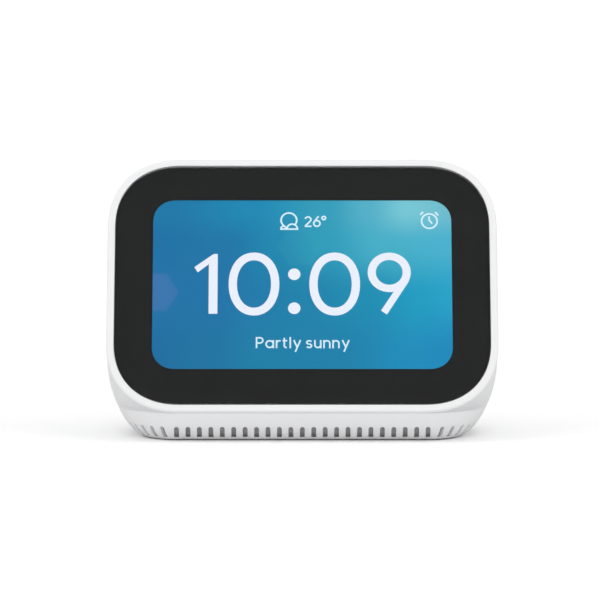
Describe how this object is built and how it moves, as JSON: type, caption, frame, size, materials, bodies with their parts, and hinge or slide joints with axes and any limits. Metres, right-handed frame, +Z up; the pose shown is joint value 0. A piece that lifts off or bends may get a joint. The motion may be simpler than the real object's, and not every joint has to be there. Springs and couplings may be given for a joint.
{
  "type": "smart display",
  "caption": "Tabletop smart display with a leaning rounded screen, white housing, vented base, speaker, top volume buttons and rear mute switch.",
  "frame": {"origin": "middle of the footprint on the table, at the centre of the bounding box", "axes": "+X to the right seen from the front, +Y to the rear, +Z up; the screen faces -Y"},
  "size_m": [0.1128, 0.068, 0.0794],
  "materials": {
    "white_plastic": "satin",
    "orange_plastic": "satin",
    "black_plastic": "satin",
    "cover_glass": "gloss",
    "display_panel": "gloss",
    "black_foam": "matte",
    "grey_rubber": "matte",
    "plated_steel": "satin",
    "aluminium": "satin",
    "bright_metal": "gloss",
    "circuit_board": "satin",
    "black_epoxy": "matte",
    "thermal_pad": "matte",
    "cone_paper": "matte",
    "copper_wire": "satin",
    "ferrite": "matte",
    "amber_film": "satin",
    "red_insulation": "satin"
  },
  "bodies": {
    "housing": {"backlight_unit": "plated_steel", "base_plate": "black_plastic", "base_screw_1": "plated_steel", "base_screw_2": "plated_steel", "base_screw_3": "plated_steel", "base_screw_4": "plated_steel", "board_screw_1": "plated_steel", "board_screw_2": "plated_steel", "board_screw_3": "plated_steel", "board_screw_4": "plated_steel", "cover_glass": "cover_glass", "dc_jack": "black_plastic", "display_bracket": "plated_steel", "display_flex": "amber_film", "display_screw_1": "plated_steel", "display_screw_2": "plated_steel", "display_screw_3": "plated_steel", "display_screw_4": "plated_steel", "front_frame": "white_plastic", "glass_gasket": "black_foam", "heat_spreader": "aluminium", "inner_chassis": "black_plastic", "jack_pin": "bright_metal", "lcd_panel": "display_panel", "main_board": "circuit_board", "microphone_down": "plated_steel", "microphone_up": "plated_steel", "mute_switch": "plated_steel", "processor": "black_epoxy", "rear_board": "circuit_board", "rear_ribbon": "amber_film", "rear_shell": "white_plastic", "rubber_foot": "grey_rubber", "shield_can": "plated_steel", "speaker_basket": "plated_steel", "speaker_box": "black_plastic", "speaker_lead_black": "black_plastic", "speaker_lead_red": "red_insulation", "speaker_magnet": "ferrite", "speaker_surround": "grey_rubber", "speaker_yoke": "plated_steel", "tact_switch_down": "black_epoxy", "tact_switch_up": "black_epoxy", "thermal_pad": "thermal_pad", "top_board": "circuit_board", "top_ribbon": "amber_film", "top_screw_1": "plated_steel", "top_screw_2": "plated_steel", "wifi_antenna": "amber_film"},
    "volume_up_button": {"volume_up_button": "white_plastic", "tact_plunger_up": "plated_steel"},
    "volume_down_button": {"volume_down_button": "white_plastic", "tact_plunger_down": "plated_steel"},
    "mute_slider": {"mute_knob": "orange_plastic", "mute_switch_lever": "black_epoxy"},
    "speaker_cone": {"speaker_cone": "cone_paper", "voice_coil": "copper_wire", "dust_cap": "cone_paper"}
  },
  "joints": [
    {"name": "volume_up_press", "type": "slide", "parent": "housing", "child": "volume_up_button", "axis": [0, -0.1191, -0.9929], "range_m": [0, 0.0003], "stiffness_N_per_m": 500},
    {"name": "volume_down_press", "type": "slide", "parent": "housing", "child": "volume_down_button", "axis": [0, -0.1191, -0.9929], "range_m": [0, 0.0003], "stiffness_N_per_m": 500},
    {"name": "mute_slide", "type": "slide", "parent": "housing", "child": "mute_slider", "axis": [-1, 0, 0], "range_m": [0, 0.0025]},
    {"name": "speaker_cone_travel", "type": "slide", "parent": "housing", "child": "speaker_cone", "axis": [0, 0, 1], "range_m": [-0.0008, 0.0008], "stiffness_N_per_m": 1200, "deforming": ["speaker_surround"]}
  ]
}
